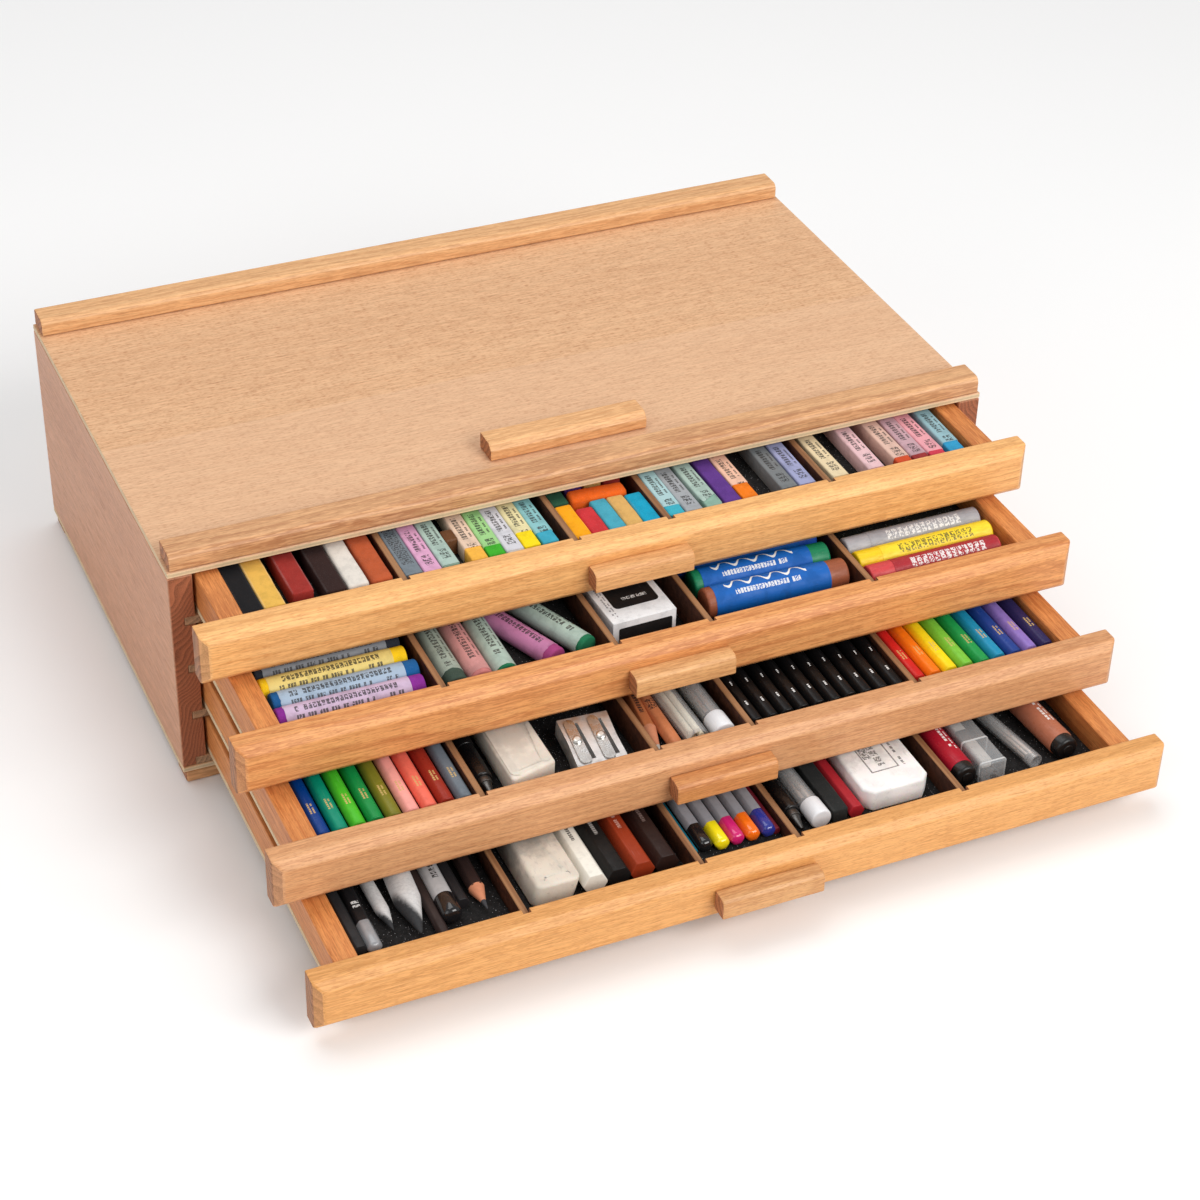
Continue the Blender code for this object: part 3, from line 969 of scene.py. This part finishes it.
def carton(tray, x, y, turn):
    """A small white carton with black labels on its top and front."""
    wide, deep, high = 31.0, 52.0, 14.0
    bm = bmesh.new()
    rod(bm, block(wide, high, 0.35), 0, deep, 0.25, 0.25, step=8.0)
    roughen(bm, 0.18, 0.12, 3.0)
    spots = ((-12.6, 0.8, 1.5, 0.5, 4, 44), (-11.2, 0.6, 1.1, 0.5, 4, 40))
    card = paper("carton_white", rgb(248, 249, 251), spots, rgb(120, 120, 126))
    box = tray.put("carton", bm, [card], x, y, high / 2, turn)
    black = paper("label_black", rgb(26, 24, 25), ((1.0, 12.0, 2.6, 1.1, 5.2, 7.2),), WHITE)
    lying = plate(rounded(oblong(-11.0, 11.0, 0.0, 34.0), 2.2, 4))
    tray.fix(box, "label", lying, black, (1.0, 9.5, high / 2 + 0.06))
    standing = plate(rounded(oblong(-13.0, 13.0, -4.6, 3.6), 0.8, 3))
    standing.transform(Matrix.Rotation(math.radians(90), 4, "X"))
    tray.fix(box, "label", standing, black, (0.5, -0.03, 0.0))


def lead_box(tray, x, y, wide, deep, high):
    """A milky lidded box with two raised rims, and a pale piece with a dark band showing through it."""
    bm = bmesh.new()
    rod(bm, block(wide, high, 1.2), 0, deep, 1.0, 1.0, 0)
    for place in (0.9, 17.0):
        rim = [(place, 1), (place + 0.9, 1), (place + 0.9, 0.97), (place, 0.97)]
        loft(bm, block(wide + 0.4, high + 0.4, 1.3), rim, 3, True)
    rod(bm, block(5.6, 4.4, 0.8), 6.0, 21.0, 0.5, 0.5, 1)
    rod(bm, block(6.2, 5.0, 0.8), 21.0, 29.0, 0.5, 0.5, 2)
    rod(bm, block(5.6, 4.4, 0.8), 29.0, deep - 5.0, 0.5, 0.5, 1)
    mats = [plastic("box_milky", rgb(196, 200, 203), 0.12, 0.62)]
    mats += [plastic("box_insert", rgb(214, 210, 204), 0.4), plastic("box_band", rgb(84, 80, 78), 0.4)]
    mats += [plastic("box_rim", rgb(226, 230, 232), 0.15, 0.35)]
    tray.put("lead_box", bm, mats, x, y, (high + 0.4) / 2)


def stump(tray, x, y, size, length, cone, turn, sink=0.0):
    """A blending stump of wound paper, pointed at the front and dirty there."""
    bm = bmesh.new()
    stations = [(0, 0.05), (1.2, 0.16), (cone * 0.5, 0.55), (cone, 0.97), (cone + 1.2, 1.0), (length, 1.0)]
    loft(bm, circle(size, 32), stations)
    roughen(bm, 0.12, 0.4, x)
    wound = stump_paper(f"stump_paper_{round(size)}", cone * 0.8)
    tray.put("stump", bm, [wound], x, y, size / 2 - sink, turn)


def hex_stick(tray, x, y, colour, name, size, ink=None, turn=0.0):
    """A thick six-sided crayon or charcoal stick, printed if it has an ink."""
    bm = bmesh.new()
    rod(bm, hexagon(size, 0.7), 0, 120.0, 0.5, 0.5)
    rows = ((0.0, 1.6, 1.3, 0.8, 24, 34),) if ink else ()
    material = lacquer("hex_" + name, rgb(*colour), rows, ink or INK, 0.42)
    tray.put("hex_stick", bm, [material], x, y, size * HEX_HALF, turn)


# ---------------------------------------------------------------- what lies in each drawer
STICKS = {
    "black": (24, 24, 27), "ochre": (228, 180, 84), "brick": (156, 48, 42), "umber": (50, 32, 30),
    "chalk_white": (226, 219, 210), "terracotta": (186, 88, 50), "sky": (72, 166, 188),
    "sand": (218, 172, 100), "cyan": (18, 160, 196), "crimson": (205, 52, 58),
    "amber": (250, 168, 16), "orange": (230, 98, 22), "pine": (38, 82, 60), "purple": (96, 56, 138),
}
# Wrapped sticks: paper, then pastel.
WRAPS = {
    "pink": ((228, 170, 206), (214, 120, 176)), "grey_green": ((178, 203, 193), (140, 176, 160)),
    "peach": ((238, 208, 184), (247, 184, 72)), "green": ((162, 217, 142), (62, 172, 42)),
    "white": ((218, 218, 225), (225, 222, 218)), "cream": ((238, 228, 176), (247, 217, 20)),
    "teal": ((142, 202, 207), (62, 167, 192)), "pale_teal": ((176, 212, 216), (60, 172, 192)),
    "grey": ((168, 173, 178), (120, 124, 128)), "apricot": ((246, 198, 172), (238, 122, 20)),
    "charcoal": ((124, 129, 132), (80, 84, 86)), "periwinkle": ((164, 169, 208), (110, 116, 180)),
    "vanilla": ((238, 218, 178), (240, 214, 160)), "blush": ((238, 198, 203), (226, 170, 180)),
    "rust": ((232, 194, 178), (203, 78, 42)), "mauve": ((206, 168, 178), (152, 52, 52)),
    "rose": ((241, 168, 178), (207, 62, 82)), "ice": ((154, 194, 204), (50, 152, 197)),
}


def bare(tray, x, y, length, name, *size, **more):
    bare_stick(tray, x, y, length, rgb(*STICKS[name]), name, *size, **more)


def wrapped(tray, x, y, name, tip=0.0, **more):
    colour, core = WRAPS[name]
    wrapped_stick(tray, x, y, rgb(*colour), name, tip, rgb(*core), **more)


def back_rows(tray, starts, naked=False):
    """More sticks behind the front row, in an order shuffled from a fixed seed."""
    for start in starts:
        count = int(tray.width / (9.8 if naked else 8.6))
        for i in range(count):
            x = (i + 0.5) * tray.width / count
            y = start + tray.rng.uniform(0.0, 2.5)
            if naked:
                bare(tray, x, y, 60.0, tray.rng.choice(sorted(STICKS)), turn=tray.rng.uniform(-0.5, 0.5))
            else:
                wrapped(tray, x, y, tray.rng.choice(sorted(WRAPS)), tray.rng.choice((0.0, 0.0, 9.0)))


def fill_drawer_1():
    """Square pastels, bare and wrapped."""
    tray = Tray(1, 1, 7.4)
    row = (
        (4.9, 1.6, "black", 0.8), (14.7, 3.0, "ochre", 0.8), (29.0, 8.2, "brick", 0.8),
        (42.8, 4.2, "umber", 0.8), (53.0, 4.4, "chalk_white", 1.5), (63.8, 4.4, "terracotta", 1.5),
    )
    for x, y, name, worn in row:
        bare(tray, x, y, STICK, name, worn=worn)
    back_rows(tray, (77, 140), naked=True)

    tray = Tray(1, 2, 8.5)
    stripes = ((0.0, 5.4, 1.5, 0.9, 8, 60),)
    wrapped_stick(tray, 4.3, 3.2, rgb(122, 134, 143), "striped", 0.0, rgb(110, 120, 128), rows=stripes)
    row = (
        (12.9, 2.4, "pink", 0), (21.6, 4.2, "grey_green", 0), (35.0, 3.6, "peach", 9),
        (43.4, 3.8, "green", 7), (51.8, 3.6, "white", 0), (60.2, 4.4, "cream", 11), (68.8, 4.2, "teal", 8),
    )
    for spot in row:
        wrapped(tray, *spot)
    bare_stick(tray, 25.4, 25.0, 5.8, rgb(104, 66, 38), "umber_brown", 8.6, -90)
    back_rows(tray, (73, 140))

    tray = Tray(1, 3, 7.6)
    broken = (("amber", 27.0), ("crimson", 22.0), ("sky", 26.0), ("sand", 26.0), ("cyan", 25.0))
    for i, (name, length) in enumerate(broken):
        bare(tray, 4.5 + 8.4 * i, 2.6, length, name, 8.2, worn=1.1)
    bare(tray, 10.0, 34.4, 27.0, "orange", 9.0, turn=-93, worn=1.6)
    bare(tray, 4.6, 31.0, 36.0, "pine", 8.2)
    for start in (70, 136):
        for i, name in enumerate(tray.rng.sample(sorted(STICKS), 4)):
            bare(tray, 6.0 + 10.2 * i, start + i % 2, 62.0, name, 9.2)
    for i, name in enumerate(("purple", "sand", "brick")):
        bare(tray, 15.5 + 9.6 * i, 42.0, 26.0, name, 8.6)

    tray = Tray(1, 4, 8.5)
    for spot in ((4.3, 3.0, "pale_teal", 7), (12.8, 2.6, "grey", 0), (41.0, 3.4, "apricot", 11)):
        wrapped(tray, *spot)
    wrapped(tray, 22.9, 3.2, "grey_green", 5, ragged=7.0, rows=())
    bare(tray, 32.2, 3.0, 64, "purple", 8.2)
    for spot in ((60.9, 3.2, "charcoal"), (70.0, 3.0, "periwinkle")):
        wrapped(tray, *spot)
    back_rows(tray, (72, 139))

    tray = Tray(1, 5, 8.5)
    row = (
        (6.6, "vanilla", 0), (25.0, "blush", 0), (40.0, "rust", 4),
        (48.7, "mauve", 3), (57.5, "rose", 3), (67.6, "ice", 7),
    )
    for x, name, tip in row:
        wrapped(tray, x, 3.0, name, tip)
    back_rows(tray, (72, 139))


def fill_drawer_2():
    """Round pastels, a carton and oil pastels."""
    bold = ((1.5, 2.7, 2.0, 0.92, 8, 54), (4.5, 1.1, 1.3, 0.6, 8, 56))
    tray = Tray(2, 1, 5.6)
    row = (
        (1.4, rgb(208, 184, 212), rgb(134, 44, 146), "lilac"),
        (2.6, rgb(166, 187, 208), rgb(26, 92, 152), "blue"),
        (1.0, rgb(244, 218, 130), rgb(251, 205, 20), "yellow"),
        (1.6, rgb(136, 141, 149), rgb(42, 46, 56), "slate"),
    )
    for y, (x, colour, core, name) in zip((11.8, 22.6, 33.6, 44.6), row):
        round_pastel(tray, x, y, colour, core, name, -90, rows=bold)
    for i in range(13):
        x, colour, core, name = row[tray.rng.randrange(4)]
        round_pastel(tray, x, 55.8 + 11.0 * i, colour, core, name, -90, rows=bold)

    tray = Tray(2, 2, 5.6)
    up = ((-0.6, 2.8, 2.1, 0.94, 9, 56), (2.6, 0.9, 1.3, 0.6, 12, 50))
    moss = (rgb(160, 174, 162), rgb(62, 78, 68), "moss")
    salmon = (rgb(212, 150, 148), rgb(196, 122, 120), "salmon")
    sage = (rgb(176, 199, 188), rgb(30, 112, 76), "sage")
    magenta = (rgb(194, 124, 168), rgb(160, 66, 122), "magenta")
    round_pastel(tray, 7.4, 5.0, *moss, bare=(7.0, 4.0), rows=up)
    round_pastel(tray, 18.8, 5.0, *salmon, bare=(2.0, 4.0), rows=up)
    round_pastel(tray, 30.0, 5.0, *sage, length=44, bare=(1.2, 4.0), rows=up)
    round_pastel(tray, 54.2, 7.4, *magenta, 22, 62, (4.0, 4.0), up)
    round_pastel(tray, 70.0, 10.0, *sage, 22, 62, (2.6, 4.0), up)
    for start in (74, 140):
        for i in range(6):
            stock = tray.rng.choice((moss, salmon, sage, magenta))
            round_pastel(tray, 6.4 + 12.6 * i, start + tray.rng.uniform(0, 2), *stock, rows=up)

    tray = Tray(2, 3, 2.6)
    carton(tray, 19.2, 14.5, 1.6)
    for i in range(3):
        round_pastel(tray, 3.0, 76.0 + 12.0 * i, *moss, -90, 38)

    tray = Tray(2, 4, 3.9)
    small = ((4.0, 2.0, 1.5, 0.85, 14, 46),)
    band = paper("jumbo_band", rgb(4, 100, 190), small, WHITE, (10, 50, 2.4, 9.5))
    colours = (
        ("brown", rgb(152, 84, 56)), ("green", rgb(12, 132, 88)),
        ("blue", rgb(24, 78, 176)), ("ochre", rgb(214, 160, 60)),
    )
    for i in range(12):
        name, core = colours[i] if i < 4 else tray.rng.choice(colours)
        x, length = ((4.9, 70.0), (5.4, 67.6))[i % 2]
        y, mats = 20.2 + 14.6 * i + 3.0 * (i > 1), [wax("jumbo_" + name, core), band]
        size, ends, wrap = circle(14.0, 36), (4.0, 9.5), (0.03, 0.2)
        banded(tray, "jumbo_pastel", mats, x, y, 7.2, -91.6, size, length, 1.2, 8.0, ends, wrap, 0.2, i)

    tray = Tray(2, 5, 6.4)
    oils = (
        ("crimson", rgb(168, 36, 46), rgb(206, 66, 70), WHITE),
        ("yellow", rgb(247, 219, 48), rgb(240, 205, 20), rgb(92, 86, 44)),
        ("silver", rgb(168, 168, 174), rgb(176, 176, 182), WHITE),
    )
    bold = ((2.5, 4.2, 3.0, 0.94, 21, 60),)
    for i in (0, 1, 2, *range(4, 16)):
        name, colour, core, ink = oils[i] if i < 3 else tray.rng.choice(oils)
        length = 70.0 if i else 67.5
        y, mats = 9.6 + 11.7 * i, [wax("oil_" + name, core), wax("oil_band_" + name, colour, bold, ink)]
        ends, wrap = (12.0, 1.0), (0.02, 0.15)
        banded(tray, "oil_pastel", mats, 1.8, y, 5.6, -90, circle(11.0), length, 0.9, 10.0, ends, wrap)


def fill_drawer_3():
    """Coloured pencils, black pencils, an eraser, a sharpener and tubes."""
    gold = ((-0.8, 0.8, 1.3, 0.95, 13, 20), (0.6, 0.7, 1.0, 0.9, 13, 19.5))
    cool = (
        ("navy", (2, 58, 132)), ("teal", (4, 140, 112)), ("lime", (74, 186, 42)), ("leaf", (20, 142, 70)),
        ("olive", (122, 120, 36)), ("shell", (242, 164, 154)), ("coral", (238, 112, 92)),
        ("brick", (152, 46, 32)), ("slate", (106, 116, 126)),
    )
    pencil_row(Tray(3, 1, 9.2), cool, 7.7, gold)

    tray = Tray(3, 2, 4.6)
    pen(tray, 6.0, 7.0, -1.5)
    eraser(tray, 25.0, 4.0, (22.0, 50.0, 12.8), rgb(226, 217, 204), "cream", 0.22, slant=5.5, corner=1.8)
    sharpener(tray, 56.0, 5.4, -3.5, 8.8)
    for i in range(4):
        bare(tray, 18.0 + 13 * i, 100.0, 60.0, "umber")

    tray = Tray(3, 3, 6.6)
    mark = ((0.0, 2.0, 1.8, 0.7, 26, 44),)
    pale = rgb(206, 200, 190)
    sharpened_pencil(tray, 3.6, 5.2, rgb(196, 118, 74), "cedar", pale, "pale", turn=-6.0, rows=mark)
    number = ((0.0, 4.2, 9.0, 1.1, 26, 36),)
    pencil(tray, 11.8, 4.2, rgb(204, 126, 84), "c_natural", rows=number, ink=INK, turn=-1.0)
    clear_tube(tray, 21.2, 4.0, 10.8, 110.0, 1.0, cap=0, fill=rgb(236, 228, 204))
    clear_tube(tray, 34.0, 5.0, 9.8, 110.0, 1.0)

    marks = ((0.2, 0.9, 1.2, 0.8, 10, 13), (0.0, 0.7, 1.0, 0.75, 24, 30))
    pencil_row(Tray(3, 4, 9.2), (("black", (15, 14, 15)),) * 10, 7.6, marks, WHITE, 1.4)

    bright = (
        ("red", (206, 36, 32)), ("orange", (246, 120, 20)), ("yellow", (250, 220, 26)),
        ("grass", (122, 196, 62)), ("emerald", (30, 152, 76)), ("azure", (30, 142, 182)),
        ("blue", (36, 66, 142)), ("violet", (142, 116, 192)), ("indigo", (46, 40, 86)),
    )
    pencil_row(Tray(3, 5, 9.2), bright, 7.8, gold)


def fill_drawer_4():
    """Charcoal, stumps, dipped pencils, erasers and markers on open foam."""
    tray = Tray(4, 1, 8.6)
    hex_stick(tray, 3.9, 9.0, (42, 42, 44), "charcoal", 7.0, turn=0.5)
    number = ((0.0, 3.2, 4.4, 1.1, 24, 28),)
    body, cap = rgb(32, 31, 33), rgb(150, 152, 156)
    dipped_pencil(tray, 9.9, 7.4, body, cap, ("charcoal", "grey"), rows=number, turn=-1.0)
    stump(tray, 20.6, 16.0, 6.0, 110.0, 12.0, 1.0)
    stump(tray, 30.0, 8.6, 11.6, 140.0, 20.0, -4.5, 1.5)
    hex_stick(tray, 39.0, 5.0, (52, 40, 38), "sepia", 5.6, turn=-1.5)
    number = ((0.0, 2.6, 2.2, 0.8, 22, 30),)
    body, cap = rgb(178, 178, 180), rgb(26, 25, 27)
    dipped_pencil(tray, 45.6, 12.0, body, cap, ("silver", "black"), 12.5, 8.6, number, INK, -1.0, sides=0)
    hex_stick(tray, 52.6, 20.0, (34, 32, 34), "soot", 6.6)
    body, lead = rgb(52, 38, 36), rgb(70, 70, 74)
    sharpened_pencil(tray, 60.8, 13.0, body, "sepia", lead, "graphite", 7.6, 13.5, -1.5)

    tray = Tray(4, 2, 7.2)
    eraser(tray, 17.4, 10.0, (20.0, 56.0, 11.0), rgb(222, 213, 199), "worn", 0.62, corner=3.4, lean=3.0)
    hexes = (
        (34.6, "white", (236, 233, 222), INK), (45.4, "black", (24, 23, 23), rgb(170, 166, 162)),
        (56.3, "terracotta", (152, 55, 26), rgb(205, 160, 146)),
        (67.6, "umber", (44, 27, 23), rgb(128, 108, 102)),
    )
    for x, name, colour, ink in hexes:
        hex_stick(tray, x, 9.4, colour, name, 11.6, ink)

    tray = Tray(4, 3, 10.6)
    hex_stick(tray, 1.9, 12.0, (24, 112, 132), "petrol", 3.2)
    caps = (
        (11.0, "black", (22, 21, 22)), (9.6, "yellow", (246, 226, 20)), (10.0, "magenta", (206, 32, 112)),
        (9.8, "orange", (246, 112, 20)), (9.6, "blue", (42, 52, 142)),
    )
    for i, (y, name, colour) in enumerate(caps):
        names = ("barrel_grey", name)
        dipped_pencil(tray, 6.9 + 7.3 * i, y, rgb(150, 150, 156), rgb(*colour), names, 13.5, 7.3)
    hex_stick(tray, 40.2, 11.0, (112, 28, 42), "burgundy", 4.0)

    tray = Tray(4, 4, 6.6)
    pen(tray, 6.2, 9.6, -1.0)
    clear_tube(tray, 16.4, 11.0, 9.4, 110.0, 1.5)
    bare_stick(tray, 26.0, 11.6, 90.0, rgb(40, 42, 42), "graphite_block", 7.4)
    hex_stick(tray, 34.0, 11.6, (168, 36, 46), "crimson", 8.0)
    border = (-7.0, 6.0, 12.0, 34.0, 0.7)
    size, pale = (32.0, 52.0, 11.6), rgb(246, 246, 246)
    eraser(tray, 54.6, 12.0, size, pale, "white", 0.34, corner=4.0, border=border, facets=1)

    tray = Tray(4, 5, 6.6)
    marker(tray, 8.2, 11.4, rgb(172, 26, 46), "red", 11.6)
    lead_box(tray, 21.0, 10.4, 13.0, 58.0, 11.0)
    clear_tube(tray, 43.8, 11.0, 7.0, 105.0, 8.0, cap=0)
    marker(tray, 59.6, 10.8, rgb(176, 108, 82), "brown", 12.0, 3.0)


fill_drawer_1()
fill_drawer_2()
fill_drawer_3()
fill_drawer_4()


# ---------------------------------------------------------------- camera, floor and light
LENS = 81.93
# Azimuth, elevation and roll in degrees; place in metres from the floor below the case's front middle.
CAMERA_AIM = (-24.707, 35.773, 1.565)
CAMERA_PLACE = (-0.42836, -0.93918, 0.79190)


def aim(azimuth, elevation, roll):
    """Right, up and back directions of a view from that azimuth and elevation, in degrees."""
    a, e, r = (math.radians(v) for v in (azimuth, elevation, roll))
    back = Vector((math.sin(a) * math.cos(e), -math.cos(a) * math.cos(e), math.sin(e)))
    right = Vector((0, 0, 1)).cross(back).normalized()
    up = back.cross(right)
    turned = right * math.cos(r) + up * math.sin(r)
    return turned, up * math.cos(r) - right * math.sin(r), back


def make_camera():
    data = bpy.data.cameras.new("camera")
    data.sensor_width = 36.0
    data.lens = LENS
    data.clip_start = 0.05
    data.clip_end = 20.0
    camera = bpy.data.objects.new("camera", data)
    bpy.context.scene.collection.objects.link(camera)
    rotation = Matrix(aim(*CAMERA_AIM)).transposed().to_4x4()
    x, y, z = CAMERA_PLACE
    camera.matrix_world = Matrix.Translation((x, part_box("side_left")[0].y + y, z)) @ rotation
    bpy.context.scene.camera = camera


def make_floor():
    bm = bmesh.new()
    bmesh.ops.create_grid(bm, x_segments=8, y_segments=8, size=6.0)
    mesh = bpy.data.meshes.new("floor")
    bm.to_mesh(mesh)
    bm.free()
    floor = bpy.data.objects.new("floor", mesh)
    floor.location.z = -0.0002
    bpy.context.scene.collection.objects.link(floor)
    p = Paint("floor_paper", Specular_IOR_Level=0.1)
    soft = p.noise(p.node("TexCoord", 3), 3.0)
    mesh.materials.append(p.surface(p.mix(soft, (0.965, 0.965, 0.965), (0.945, 0.945, 0.95)), 0.9))


def area_light(name, place, target, size, power, colour=(1, 1, 1)):
    data = bpy.data.lights.new(name, "AREA")
    data.shape = "RECTANGLE"
    data.size, data.size_y = size
    data.energy = power
    data.color = colour
    light = bpy.data.objects.new(name, data)
    bpy.context.scene.collection.objects.link(light)
    light.location = place
    light.rotation_euler = (Vector(target) - Vector(place)).to_track_quat("-Z", "Y").to_euler()


def make_light():
    """A pale surround, a large warm key from the front right, and weaker lights above and on the left."""
    world = bpy.data.worlds.new("studio")
    bpy.context.scene.world = world
    world.use_nodes = True
    ground = world.node_tree.nodes["Background"]
    ground.inputs["Color"].default_value = (1.0, 1.0, 1.0, 1.0)
    ground.inputs["Strength"].default_value = 0.44
    area_light("key", (0.75, -1.85, 1.45), (0, -0.05, 0.05), (1.5, 1.1), 38.0, (1.0, 0.985, 0.96))
    area_light("top", (-0.2, 0.5, 2.0), (0, 0, 0.05), (1.8, 1.2), 15.0)
    area_light("fill", (-1.9, -0.9, 1.1), (0, 0, 0.05), (1.4, 1.2), 6.5)


bpy.context.scene.view_settings.view_transform = "Standard"
make_camera()
make_floor()
make_light()
